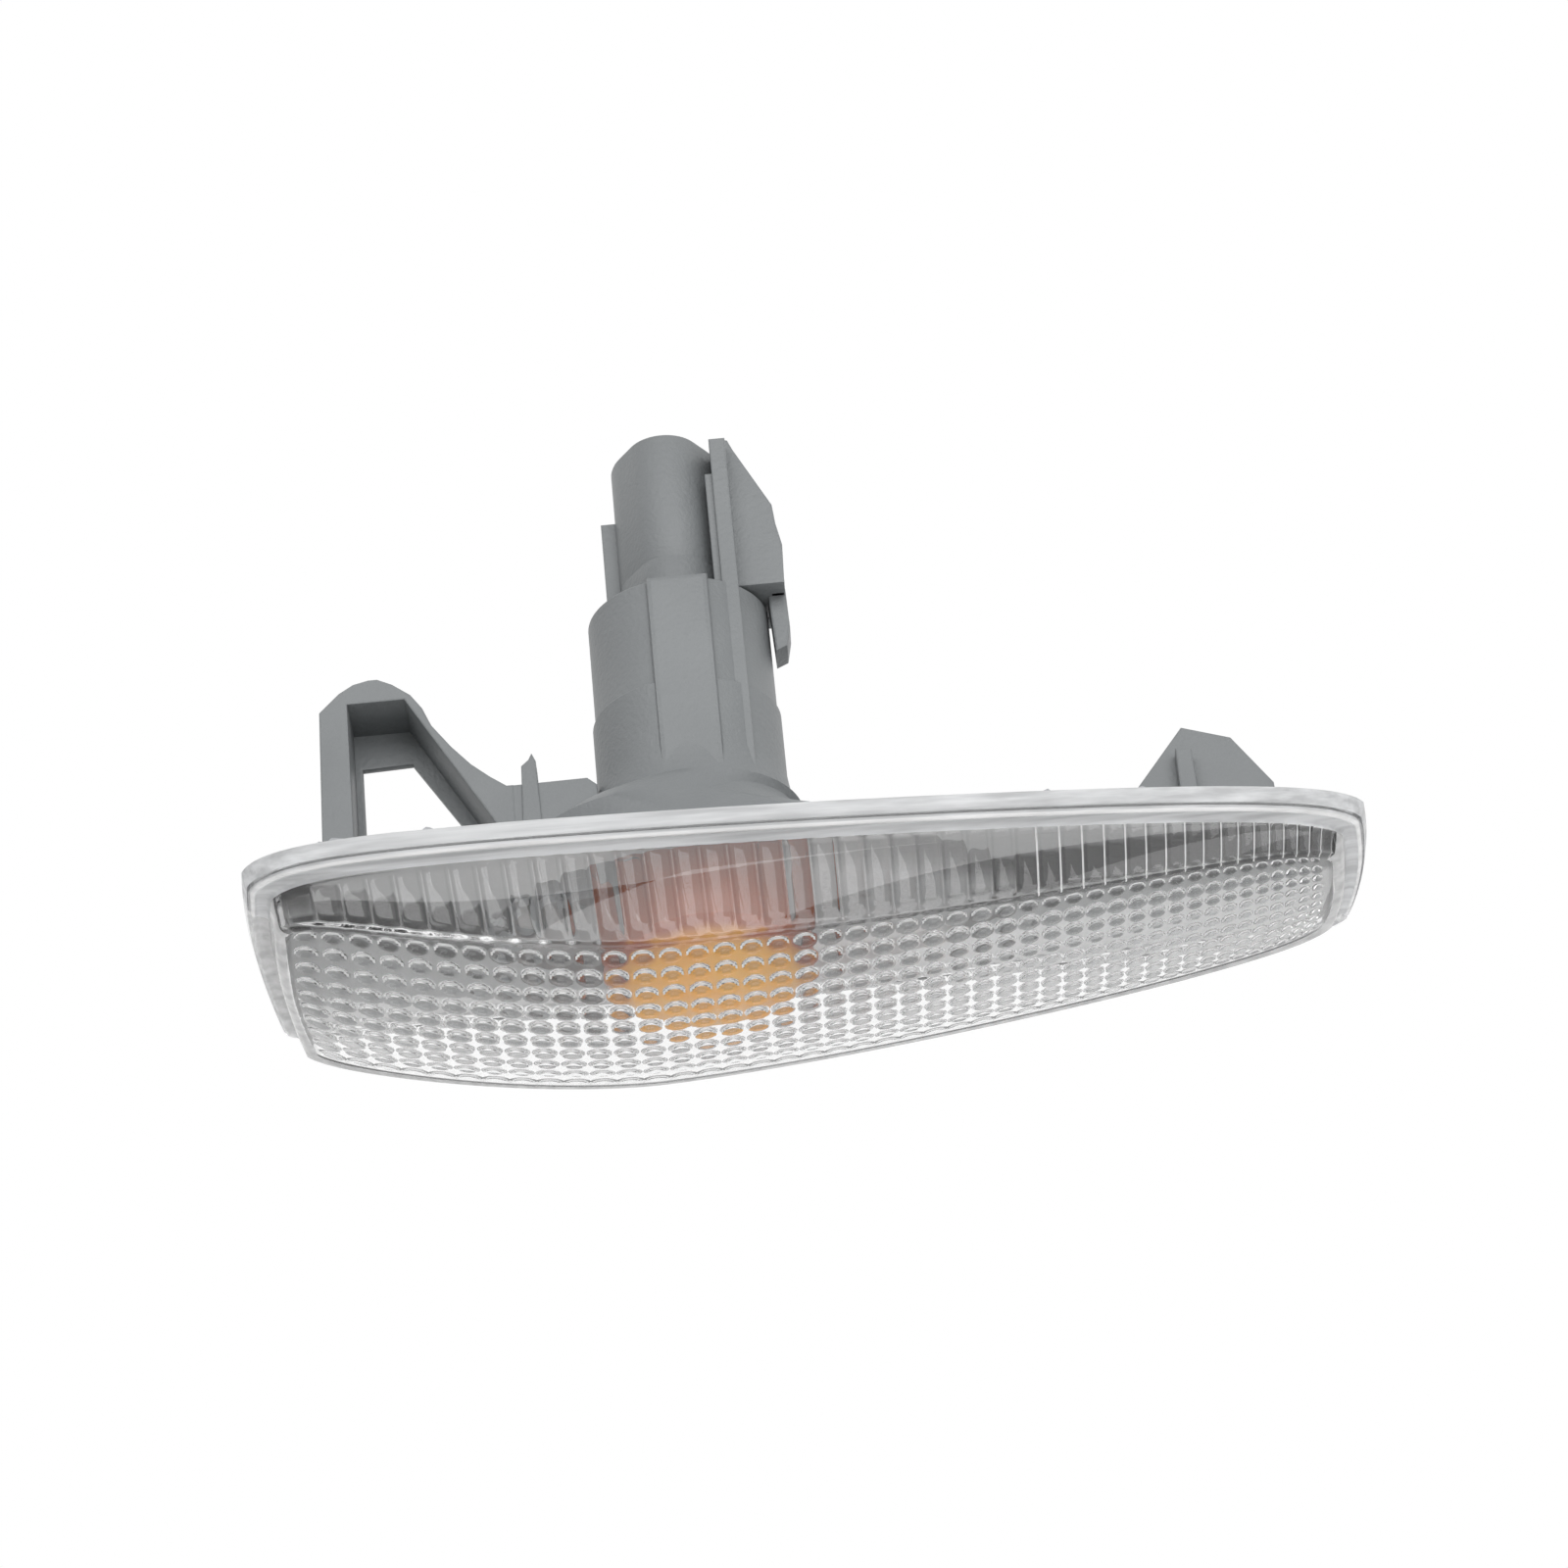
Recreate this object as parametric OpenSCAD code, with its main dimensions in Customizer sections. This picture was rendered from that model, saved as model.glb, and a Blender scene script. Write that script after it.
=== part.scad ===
// Side repeater lamp with a clear patterned lens, an amber inner cap and a moulded rear tower.
// Millimetres. The lens faces -Y, the tower points to +Y, X runs along the lamp.
// The tower axis crosses the flange's rear plane at the origin.

/* [Outline] */
// overall length of the lamp
lamp_len = 120; // [100:1:135]
// how far the middle of the length lies to the right of the tower axis
mid_x = 11.5; // [8:0.5:14]
// upper edge of the outline above the tower axis
top_at_axis = 19.25; // [17:0.25:22]
// slope of the upper edge, falling to the right
top_tilt = 0.0574; // [0.03:0.002:0.07]
// bow of the upper edge
top_bow = 0.00069; // [0.0004:0.00005:0.0009]
// lower edge of the outline below the tower axis
bottom_at_axis = 22.15; // [20:0.25:24]
// bow of the lower edge
bottom_bow = 0.00055; // [0.0003:0.00005:0.0008]
// roundness power of both ends
end_power = 6; // [4:1:8]

/* [Lens] */
// depth from the rear plane to the front edge at the deepest place
edge_depth = 13.3; // [11:0.1:15]
// where the front is deepest, left of the tower axis
crest_x = -7; // [-12:1:-2]
// how much the front falls back towards both ends
end_fall = 10; // [7:0.5:10.5]
// radius of the front's bulge from the lower to the upper edge
bulge_radius = 56; // [45:1:80]
// thickness of the lens wall
lens_wall = 1.8; // [1.4:0.1:2.2]
// depth of the rim at its ridge
ridge_depth = 2.5; // [2:0.1:3]
// how far the ridge lies inside the outline
ridge_inset = 1; // [0.6:0.1:1.4]
// how far the foot of the lens wall lies inside the outline
foot_inset = 2.6; // [2.2:0.1:3]
// how far the front edge lies inside the outline
front_inset = 4.4; // [3.8:0.1:5]
// width of the skirt that wraps the housing plate
skirt_width = 1.6; // [1.3:0.1:1.9]

/* [Pattern] */
// number of flutes and of dot columns along the lamp
dot_columns = 44; // [20:1:44]
// number of dot rows across the front
dot_rows = 10; // [6:1:10]
// share of a cell that a dot fills
dot_share = 0.86; // [0.6:0.02:0.9]
// height of a dot
dot_height = 0.55; // [0.3:0.05:0.7]
// depth of a flute
flute_depth = 0.35; // [0.2:0.05:0.5]

/* [Housing] */
// thickness of the rear plate
plate_thick = 1.5; // [1.3:0.1:1.8]
// clearance between the plate's edge and the lens skirt
plate_gap = 0.3; // [0.2:0.05:0.4]
// width of the joint groove behind the lens and plate
groove_width = 1.4; // [1:0.1:1.8]
// depth of the joint groove
groove_depth = 0.4; // [0.3:0.05:0.6]
// height of the raised mound behind the plate
mound_height = 9.5; // [8:0.5:11]
// wall of the mound
mound_wall = 1.8; // [1.5:0.1:2.2]

/* [Tower] */
// radius of the bulb barrel at its foot
barrel_radius = 10.4; // [9.6:0.1:11.2]
// how much the barrel narrows at the step and again at the shoulder
barrel_step = 0.35; // [0.2:0.05:0.6]
// height of the small step
step_height = 21.4; // [18:0.5:24]
// height of the shoulder
shoulder_height = 34.5; // [32:0.5:37]
// height of the tower's open end
tower_height = 54.5; // [50:0.5:58]
// bore radius of the barrel
barrel_bore = 8.4; // [8:0.1:8.8]
// half width of the connector neck
neck_half = 6; // [5.5:0.1:6.5]
// wall of the connector neck
neck_wall = 1.5; // [1.2:0.1:1.8]
// depth of the connector socket
socket_depth = 16; // [12:0.5:18]

/* [Clip and tab] */
// height of the spring clip
clip_height = 29; // [26:0.5:31]
// width of the spring clip across the lamp
clip_width = 8; // [6:0.5:9]
// height of the locating tab
tab_height = 15.5; // [12:0.5:18]
// thickness of the locating tab
tab_thick = 2; // [1.6:0.1:2.6]

/* [Bulb] */
// outer radius of the amber cap
cap_radius = 11.2; // [10.8:0.1:11.6]
// how far the amber cap reaches in front of the rear plane
cap_front = 11; // [10:0.25:11.5]
// wall of the amber cap
cap_wall = 1.4; // [1.2:0.1:1.8]
// radius of the bulb's glass
bulb_radius = 5.1; // [4.6:0.1:5.4]
// wall of the bulb's glass
bulb_wall = 0.7; // [0.5:0.1:0.9]
// width of the contact blades
blade_width = 2.8; // [2.2:0.2:3.4]
// thickness of the contact strips
blade_thick = 0.8; // [0.6:0.1:1]

/* [Hidden] */
half_len = lamp_len / 2;
grey = [0.53, 0.54, 0.55];
clear = [0.86, 0.88, 0.90, 0.5];
amber = [0.93, 0.52, 0.12];
brass = [0.78, 0.68, 0.42];
glass = [0.85, 0.88, 0.9, 0.5];
// the last columns stand this share of the way to the tip
tip_share = 0.985;
rows = dot_rows;
// plain narrow cells at each end of the pattern, and the share of half the length they take
plain = 2;
left_plain = 0.045;
right_plain = 0.03;
cols = dot_columns + 2 * plain;
plate_inset = skirt_width + plate_gap;
seat_y = 3;
holder_front = 15;
bore_end = shoulder_height - 2;
socket_floor = tower_height - socket_depth;
contact_x = 3.2;
base_half = 1.1;

function top_line(x) = top_at_axis - top_tilt * x - top_bow * x * x;
function low_line(x) = -bottom_at_axis + bottom_bow * pow(x + 5, 2);
function mid_line(x) = (top_line(x) + low_line(x)) / 2;
function half_height(x) = (top_line(x) - low_line(x)) / 2;
function round_off(s) = pow(max(0, 1 - pow(abs(s), end_power)), 1 / end_power);

// Place of a pattern position (p along, q across, both -1 to 1) on the outline set in by inset.
function along(p, q, inset) =
    mid_x + (half_len - inset) * (tip_share * p + (1 - tip_share) * sign(p) * pow(abs(p), 8) * (1 - q * q));
function across(p, q, inset) =
    mid_line(along(p, q, inset))
    + q * (half_height(along(p, q, inset)) - inset) * round_off(tip_share * p);

// Depth of the front edge below the rear plane.
function fall(x) =
    x > crest_x
    ? end_fall * pow((x - crest_x) / (mid_x + half_len - crest_x), 1.4)
    : end_fall * pow((crest_x - x) / (crest_x - mid_x + half_len), 1.75);
function edge_y(x) = -(edge_depth - fall(x));
function bulge(p, q, inset) =
    pow((half_height(along(p, q, inset)) - inset) * round_off(tip_share * p), 2) * (1 - q * q)
    / (2 * bulge_radius);
function front_point(p, q, inset, back) = [
    along(p, q, inset),
    edge_y(along(p, q, inset)) - bulge(p, q, inset) + back,
    across(p, q, inset),
];

// The columns stand closer together towards the right end, the rows are evenly spread.
function spread(t) = t + 0.1 * t * (1 - t) + 0.43 * t * t * (1 - t);
function column_at(i) =
    i < plain ? -1 + left_plain * pow(i / plain, 1.3)
    : i > cols - plain ? 1 - right_plain * pow((cols - i) / plain, 1.3)
    : -1 + left_plain + (2 - left_plain - right_plain) * spread((i - plain) / dot_columns);
function has_dot(i) = i >= plain && i < cols - plain;
function row_at(j) = -1 + 2 * j / rows;

// Pattern positions round the edge of the grid, anticlockwise as seen from the front.
ring = [
    for (i = [0:cols - 1]) [column_at(i), -1],
    for (j = [0:rows - 1]) [1, row_at(j)],
    for (i = [cols:-1:1]) [column_at(i), 1],
    for (j = [rows:-1:1]) [-1, row_at(j)],
];
around = len(ring);
function ring_at(inset, y) = [for (r = ring) [along(r[0], r[1], inset), y, across(r[0], r[1], inset)]];
function front_ring(inset, back) = [for (r = ring) front_point(r[0], r[1], inset, back)];

// Side faces between ring a and ring b of a list of stacked rings.
function band(a, b) = [
    for (i = [0:around - 1]) each [
        [a * around + i, a * around + (i + 1) % around, b * around + i],
        [a * around + (i + 1) % around, b * around + (i + 1) % around, b * around + i],
    ]
];

// Number of the ring station that lies on grid corner (i, j) of the pattern's border.
function border(i, j) =
    j == 0 && i < cols ? i
    : i == cols && j < rows ? cols + j
    : j == rows && i > 0 ? cols + rows + (cols - i)
    : 2 * cols + rows + (rows - j);
function on_border(i, j) = i == 0 || j == 0 || i == cols || j == rows;
function inner_number(i, j) = (j - 1) * (cols - 1) + i - 1;
function corner(i, j, ring_start, grid_start) =
    on_border(i, j) ? ring_start + border(i, j) : grid_start + inner_number(i, j);

module outer_lens() {
    // outer rings: rear edge, ridge, foot of the wall, front edge
    // inner rings: front edge, foot of the wall, ledge, rear of the skirt, rear edge
    inner_front = front_inset + lens_wall * 0.9;
    inner_foot = foot_inset + lens_wall;
    rings = concat(
        ring_at(0, 0),
        ring_at(ridge_inset, -ridge_depth),
        ring_at(foot_inset, -ridge_depth - 0.5),
        front_ring(front_inset, 0),
        front_ring(inner_front, lens_wall),
        ring_at(inner_foot, -plate_thick),
        ring_at(skirt_width, -plate_thick),
        ring_at(skirt_width, 0)
    );
    outer_grid = [
        for (j = [1:rows - 1], i = [1:cols - 1]) front_point(column_at(i), row_at(j), front_inset, 0)
    ];
    inner_grid = [
        for (j = [1:rows - 1], i = [1:cols - 1])
            front_point(column_at(i), row_at(j), inner_front, lens_wall)
    ];
    // each dot: eight points of its foot and its crown
    dots = [
        for (j = [0:rows - 1], i = [plain:cols - plain - 1]) each concat(
            [
                for (k = [0:7])
                    let(
                        pm = (column_at(i) + column_at(i + 1)) / 2,
                        pd = (column_at(i + 1) - column_at(i)) / 2,
                        qm = row_at(j) + 1 / rows
                    )
                    front_point(
                        pm + dot_share * pd * cos(45 * k + 22.5),
                        qm + dot_share / rows * sin(45 * k + 22.5),
                        inner_front,
                        lens_wall
                    )
            ],
            [
                front_point(
                    (column_at(i) + column_at(i + 1)) / 2,
                    row_at(j) + 1 / rows,
                    inner_front,
                    lens_wall + dot_height
                )
            ]
        )
    ];
    // each flute of the upper long side: two points on its inner ridge line
    flutes = [
        for (i = [plain:cols - plain - 1]) each [
            for (t = [0.12, 0.88])
                let(
                    p = (column_at(i) + column_at(i + 1)) / 2,
                    inset = inner_foot + (inner_front - inner_foot) * t,
                    x = along(p, 1, inset)
                )
                [
                    x,
                    -plate_thick + (edge_y(x) + lens_wall + plate_thick) * t,
                    across(p, 1, inset) - flute_depth,
                ]
        ]
    ];
    n_ring = len(rings);
    n_outer = n_ring;
    n_inner = n_outer + len(outer_grid);
    n_dots = n_inner + len(inner_grid);
    n_flutes = n_dots + len(dots);
    front_start = 3 * around;
    back_start = 4 * around;
    outer_faces = [
        for (j = [0:rows - 1], i = [0:cols - 1])
            let(
                a = corner(i, j, front_start, n_outer),
                b = corner(i + 1, j, front_start, n_outer),
                c = corner(i + 1, j + 1, front_start, n_outer),
                d = corner(i, j + 1, front_start, n_outer)
            )
            each [[a, b, c], [a, c, d]]
    ];
    dot_faces = [
        for (j = [0:rows - 1], i = [0:cols - 1])
            let(
                a = corner(i, j, back_start, n_inner),
                b = corner(i + 1, j, back_start, n_inner),
                c = corner(i + 1, j + 1, back_start, n_inner),
                d = corner(i, j + 1, back_start, n_inner),
                s = n_dots + 9 * (j * dot_columns + i - plain),
                e = [c, d, a, b]
            )
            each !has_dot(i) ? [[c, b, a], [d, c, a]] : concat(
                [for (k = [0:7]) [s + (k + 1) % 8, s + k, s + 8]],
                [for (m = [0:3]) [s + 2 * m, s + (2 * m + 1) % 8, e[m]]],
                [for (m = [0:3]) [s + 2 * m + 1, s + (2 * m + 2) % 8, e[m]]],
                [for (m = [0:3]) [s + (2 * m + 2) % 8, e[(m + 1) % 4], e[m]]]
            )
    ];
    // the inner wall: plain except along the upper side, where each cell is a flute
    top_from = cols + rows;
    wall_faces = [
        for (i = [0:around - 1])
            let(
                a = 4 * around + i,
                b = 4 * around + (i + 1) % around,
                c = 5 * around + (i + 1) % around,
                d = 5 * around + i,
                k = cols - 1 - (i - top_from),
                m1 = n_flutes + 2 * (k - plain),
                m2 = m1 + 1
            )
            each !has_dot(k)
                ? [[a, b, d], [b, c, d]]
                : [[a, b, m2], [d, m1, c], [a, m2, m1], [a, m1, d], [b, c, m1], [b, m1, m2]]
    ];
    color(clear)
        polyhedron(
            points = concat(rings, outer_grid, inner_grid, dots, flutes),
            faces = concat(
                band(0, 1),
                band(1, 2),
                band(2, 3),
                outer_faces,
                dot_faces,
                wall_faces,
                band(5, 6),
                band(6, 7),
                band(7, 0)
            )
        );
}

// Plate of the lamp's outline, set in by inset, lying from y0 to y1.
module outline_plate(inset, y0, y1) {
    translate([0, y1, 0])
        rotate([90, 0, 0])
            linear_extrude(y1 - y0)
                polygon([for (r = ring) [along(r[0], r[1], inset), across(r[0], r[1], inset)]]);
}

// Profile in the plane of the lamp's length and height, spread by width across the lamp.
module side_profile(points, z0, width) {
    translate([0, 0, z0 - width / 2])
        linear_extrude(width)
            polygon(points);
}

module disc(radius, y0, y1, fine = 96) {
    translate([0, y1, 0])
        rotate([90, 0, 0])
            cylinder(h = y1 - y0, r = radius, $fn = fine);
}

module mound_form(wall) {
    hull() {
        translate([4, 0, 0])
            scale([1, 1, 0.64])
                disc(24 - wall, -plate_thick, 0.5, 48);
        translate([-2, 0, 0])
            scale([1, 1, 0.93])
                disc(barrel_radius + 4.2 - wall, 5, mound_height - 3 - wall, 48);
        disc(barrel_radius + 1.6 - wall, 7, mound_height - wall, 48);
    }
}

// Oval of the connector neck, grown or shrunk by grow, lying from y0 to y1.
module neck(grow, y0, y1) {
    translate([0, y1, 0])
        rotate([90, 0, 0])
            linear_extrude(y1 - y0)
                hull() {
                    translate([0, 9.3 - 3.4])
                        circle(r = 3.4 + grow, $fn = 32);
                    translate([0, 1.2])
                        circle(r = neck_half + grow, $fn = 48);
                    translate([0, -9.3 + 3.4])
                        circle(r = 3.4 + grow, $fn = 32);
                }
}

module tower_outside() {
    disc(barrel_radius, seat_y, step_height);
    disc(barrel_radius - barrel_step, step_height - 1, shoulder_height);
    translate([0, mound_height - 1.5, 0])
        rotate([-90, 0, 0])
            cylinder(h = 5.5, r1 = barrel_radius + 1.9, r2 = barrel_radius - 0.3, $fn = 96);
    neck(0, shoulder_height - 1, tower_height);
    // long pad beside the neck, with a groove between the two near the open end
    translate([neck_half - 0.8, mound_height - 3, 2])
        cube([1.8, tower_height + 1.5 - mound_height, 6.2]);
    translate([neck_half - 1.6, mound_height, -2])
        cube([1.6, 49 - mound_height, 9.6]);
    // latch guide at the right of the neck
    side_profile(
        [[neck_half + 0.2, 35], [12.1, 35], [12.2, 40], [11.9, 44.5], [11.6, 48.5], [neck_half + 0.2, 57]],
        1.2, 9.6
    );
    // hooked tongue under the guide
    side_profile([[10.7, 36], [12.1, 36], [12.2, 31], [11.6, 28.6], [10.7, 28.2]], 1.2, 4);
    // guide rib at the left of the neck
    side_profile([[-neck_half - 1.6, 38], [-neck_half + 1, 38], [-neck_half + 1, 48], [-neck_half - 1.6, 48]], 0, 1.6);
    side_profile([[-neck_half - 1.6, 33], [-neck_half + 1, 33], [-neck_half + 1, 39], [-neck_half - 1.6, 39]], 0, 1.6);
}

module spring_clip() {
    h = clip_height;
    difference() {
        side_profile(
            [
                [-40.6, -0.5], [-39.9, h - 4], [-38.9, h - 2.6], [-37.5, h - 1.2], [-35.9, h - 0.3], [-34.2, h],
                [-33, h - 0.1], [-31.6, h - 0.9], [-29.7, h - 2.4], [-28.5, h - 4.2], [-27.6, h - 6.2], [-25.6, h - 9],
                [-23.6, h - 11.4], [-21.6, h - 13.2], [-20, h - 14.4], [-12, h - 14.4], [-11.2, h - 15.4],
                [-11.2, -0.5],
            ],
            0, clip_width
        );
        // window through the clip, with its cross bar left at the far side
        side_profile([[-36.7, -1], [-36.7, h - 3.6], [-30.4, h - 3.4], [-22.9, 8.4], [-22.9, -1]], 0.9, clip_width);
        side_profile([[-35.2, 0], [-35.2, h - 10.6], [-30.6, h - 10.4], [-24.2, 8.6], [-24.2, 0]], 0, clip_width + 2);
        // the arm's foot and the web are thin
        side_profile(
            [[-22, -1], [-22, h - 7], [-9, h - 7], [-9, -1]],
            clip_width / 2 + 0.8, clip_width
        );
        side_profile(
            [[-22, -1], [-22, h - 7], [-9, h - 7], [-9, -1]],
            -clip_width / 2 - 0.8, clip_width
        );
        side_profile([[-12.4, -1], [-12.4, h], [-9, h], [-9, -1]], 0, clip_width + 2);
    }
}

module pointed_fin() {
    side_profile([[-18.7, 0], [-18.2, 15.9], [-17.4, 16.6], [-17, 17.4], [-16.6, 16.4], [-16.1, 0]], 2.6, 2.8);
}

module locating_tab() {
    h = tab_height;
    side_profile([[45.4, -0.5], [53.1, h], [58.2, h - 1.7], [63.2, 5], [63.2, -0.5]], 0, tab_thick);
    // stiffening rib on the tab's near face
    side_profile([[52, -0.5], [52, h - 2.6], [53.4, h - 3.2], [53.9, -0.5]], 1.6, 2.4);
}

module housing() {
    color(grey)
        difference() {
            union() {
                outline_plate(plate_inset, -plate_thick, -groove_depth);
                outline_plate(skirt_width + groove_width, -plate_thick, 0);
                difference() {
                    mound_form(0);
                    mound_form(mound_wall);
                }
                tower_outside();
                spring_clip();
                pointed_fin();
                locating_tab();
            }
            // mouth of the mound, open to the lens
            intersection() {
                mound_form(mound_wall);
                translate([-30, -plate_thick - 1, -30])
                    cube([70, seat_y + plate_thick + 1, 60]);
            }
            // barrel bore
            disc(barrel_bore, -plate_thick - 1, bore_end);
            // slots for the two contacts through the end of the bore
            for (side = [-1, 1])
                translate([side * contact_x - blade_thick / 2, bore_end - 1, -blade_width / 2])
                    cube([blade_thick, socket_floor - bore_end + 2, blade_width]);
            // connector socket
            neck(-neck_wall, socket_floor, tower_height + 3);
            // slot of the latch guide
            translate([neck_half + 1.6, 36.4, -1.2])
                cube([3, 30, 4.8]);
        }
}

module weld_bead() {
    // squeezed-out joint material, raised in a few places
    inner = skirt_width + groove_width;
    function bump(x, z) =
        z < mid_line(x) ? 0
        : 0.5 * max(0, 1 - abs(x + 38) / 3) + 0.6 * max(0, 1 - abs(x + 29.8) / 1.6)
            + 0.4 * max(0, 1 - abs(x - 49.5) / 1.6) + 0.5 * max(0, 1 - abs(x - 56) / 2.4);
    outer_ring = ring_at(skirt_width, 0);
    rings = concat(
        ring_at(skirt_width, -groove_depth),
        [for (r = outer_ring) [r[0], bump(r[0], r[2]), r[2]]],
        [for (r = ring_at(inner, 0)) [r[0], bump(r[0], r[2]) * 0.5, r[2]]],
        ring_at(inner, -groove_depth)
    );
    color([0.75, 0.76, 0.78])
        polyhedron(points = rings, faces = concat(band(1, 0), band(2, 1), band(3, 2), band(0, 3)));
}

module amber_cap() {
    color(amber)
        difference() {
            translate([0, seat_y, 0])
                rotate([90, 0, 0])
                    rotate_extrude($fn = 96)
                        polygon([
                            [0, 0], [cap_radius - 0.4, 0], [cap_radius - 0.4, 3], [cap_radius, 3.4],
                            [cap_radius, cap_front + seat_y - 3], [cap_radius - 1, cap_front + seat_y - 1.4],
                            [cap_radius - 2.8, cap_front + seat_y - 0.5], [4, cap_front + seat_y - 0.1],
                            [0, cap_front + seat_y],
                        ]);
            translate([0, seat_y + 1, 0])
                rotate([90, 0, 0])
                    rotate_extrude($fn = 96)
                        polygon([
                            [0, 0], [cap_radius - cap_wall - 0.4, 0],
                            [cap_radius - cap_wall - 0.4, cap_front + seat_y - 2],
                            [cap_radius - cap_wall - 1.8, cap_front + seat_y - cap_wall + 0.4],
                            [0, cap_front + seat_y - cap_wall + 0.8],
                        ]);
        }
}

module bulb_glass() {
    tip = -8;
    root = 11;
    color(glass)
        difference() {
            union() {
                disc(bulb_radius, tip + bulb_radius, root);
                translate([0, tip + bulb_radius, 0])
                    sphere(r = bulb_radius, $fn = 64);
                translate([-4.7, root - 1, -base_half])
                    cube([9.4, 12, 2 * base_half]);
                disc(3.6, root - 2, root + 2);
            }
            disc(bulb_radius - bulb_wall, tip + bulb_radius, root - 1);
            translate([0, tip + bulb_radius, 0])
                sphere(r = bulb_radius - bulb_wall, $fn = 64);
            // lead wires pass through the pinched base
            for (side = [-1, 1])
                translate([side * 2 - 0.25, root - 3, -0.25])
                    cube([0.5, 20, 0.5]);
        }
}

module bulb_wire(side) {
    color([0.62, 0.6, 0.58]) {
        translate([side * 2 - 0.25, -1, -0.25])
            cube([0.5, 23.5, 0.5]);
        // the end folds back along the outside of the wedge base
        translate([side * 2 - 0.25, 22, side > 0 ? -0.25 : -base_half - 0.5])
            cube([0.5, 0.5, base_half + 0.75]);
        translate([side * 2 - 0.25, 16, side > 0 ? base_half : -base_half - 0.5])
            cube([0.5, 6.5, 0.5]);
    }
}

module bulb_filament() {
    color([0.5, 0.48, 0.46])
        translate([-1.75, -0.6, 0])
            rotate([0, 90, 0])
                cylinder(h = 3.5, r = 0.25, $fn = 24);
}

module bulb_holder() {
    color([0.32, 0.33, 0.34])
        difference() {
            disc(barrel_bore - 0.3, holder_front, bore_end);
            // slot for the wedge base and its contacts
            translate([-4.9, holder_front - 1, -2.6])
                cube([9.8, 8.5, 5.2]);
            translate([-4.2, 22, -2.6])
                cube([8.4, 1.3, 5.2]);
            for (side = [-1, 1])
                translate([side * contact_x - blade_thick / 2, holder_front + 3, -blade_width / 2])
                    cube([blade_thick, 30, blade_width]);
        }
}

// One stamped strip: a blade for the plug at the rear, a sprung finger at the bulb.
module contact(side) {
    color(brass) {
        translate([side * contact_x - blade_thick / 2, 22.5, -blade_width / 2])
            cube([blade_thick, socket_floor + 9 - 22.5, blade_width]);
        translate([side * contact_x - blade_thick / 2, 22.5, side > 0 ? -blade_width / 2 : -2.4])
            cube([blade_thick, 0.6, side > 0 ? 2.4 + blade_width / 2 : 2.4 + blade_width / 2]);
        translate([side > 0 ? 1.6 : -3.6, 16.5, side > 0 ? 1.6 : -2.4])
            cube([2, 6.6, 0.8]);
    }
}

outer_lens();
housing();
weld_bead();
amber_cap();
bulb_glass();
bulb_filament();
bulb_wire(-1);  // bulb_wire_left
bulb_wire(1);  // bulb_wire_right
bulb_holder();
contact(-1);  // contact_left
contact(1);  // contact_right
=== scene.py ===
import math

import bpy
import numpy as np
from mathutils import Matrix, Vector


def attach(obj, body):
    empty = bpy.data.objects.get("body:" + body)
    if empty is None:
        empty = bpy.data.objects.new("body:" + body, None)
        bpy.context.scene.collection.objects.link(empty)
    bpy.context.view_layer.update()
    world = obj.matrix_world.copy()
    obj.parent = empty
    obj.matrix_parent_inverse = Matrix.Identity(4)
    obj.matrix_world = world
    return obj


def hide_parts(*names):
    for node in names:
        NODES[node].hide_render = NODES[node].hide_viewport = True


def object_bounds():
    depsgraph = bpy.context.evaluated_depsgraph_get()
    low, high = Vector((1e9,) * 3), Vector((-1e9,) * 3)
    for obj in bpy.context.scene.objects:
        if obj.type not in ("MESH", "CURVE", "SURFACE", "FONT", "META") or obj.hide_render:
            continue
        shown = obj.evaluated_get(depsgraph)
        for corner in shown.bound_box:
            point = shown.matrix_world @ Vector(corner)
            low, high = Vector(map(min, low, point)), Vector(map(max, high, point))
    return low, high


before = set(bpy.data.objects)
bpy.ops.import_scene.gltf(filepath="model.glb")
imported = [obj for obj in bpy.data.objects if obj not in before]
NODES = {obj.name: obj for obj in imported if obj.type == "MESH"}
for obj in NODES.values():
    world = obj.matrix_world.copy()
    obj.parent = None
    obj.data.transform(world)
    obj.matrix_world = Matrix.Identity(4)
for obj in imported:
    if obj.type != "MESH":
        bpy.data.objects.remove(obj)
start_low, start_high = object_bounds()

MM = 0.001

# Lens outline in millimetres: the long sides run as in the part's source, and the corners are squarer
LENGTH = 120.0
HALF = LENGTH / 2
MID_X = 11.5
TOP_AT_AXIS, TOP_TILT, TOP_BEND = 19.25, 0.0574, 0.00069
LOW_LEAST, LOW_BEND, LOW_X = -22.15, 0.00055, -5
TIP_SHARE = 0.985  # where on the half length the long sides end
TIP_POWER = 8
CORNER_POWER = 7  # how square the corners are
LOWER_LEFT_MORE = 9  # added at the lower left corner

# Lens section in millimetres
FOOT_IN, FRONT_IN = 2.6, 4.4  # how far the wall's foot and the front's edge lie inside the outline
RIM_DEPTH, FRONT_DEPTH = 2.5, 13.3
DEEPEST_X = -7
RIGHT_RISE, RIGHT_CURVE = 10, 1.4  # how far the front comes back towards the end, and by which power
LEFT_RISE, LEFT_CURVE = 8.4, 1.75
DOME_RADIUS = 56
WALL, PLATE, SKIRT = 1.4, 1.5, 1.6
WALL_FOOT_Y = -2.85
FOOT_STEP = 0.03
WALL_LEAN, WALL_BOW = 0.89, 1.7
WALL_STEPS, FIRST_STEP = 13, 0.04
FRONT_WALL_SHARE = 0.9
LEAN, LEAN_START, LEAN_SPAN = 2.7, -34, 84  # the front's flute edge leans in over this stretch
END_HOLLOW = 0.6
SOFT_LEAST, SOFT_MORE, SOFT_SPAN = 1.8, 0.7, 0.5  # softness of the front's edge, from q 1 down
ROUND_IN, ROUND_DOWN = 0.5, 0.04  # rounding for each softness: millimetres inwards, share of the wall
ROUND_STEPS = (0.22, 0.44, 0.66, 0.85)  # shares of a quarter turn
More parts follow.
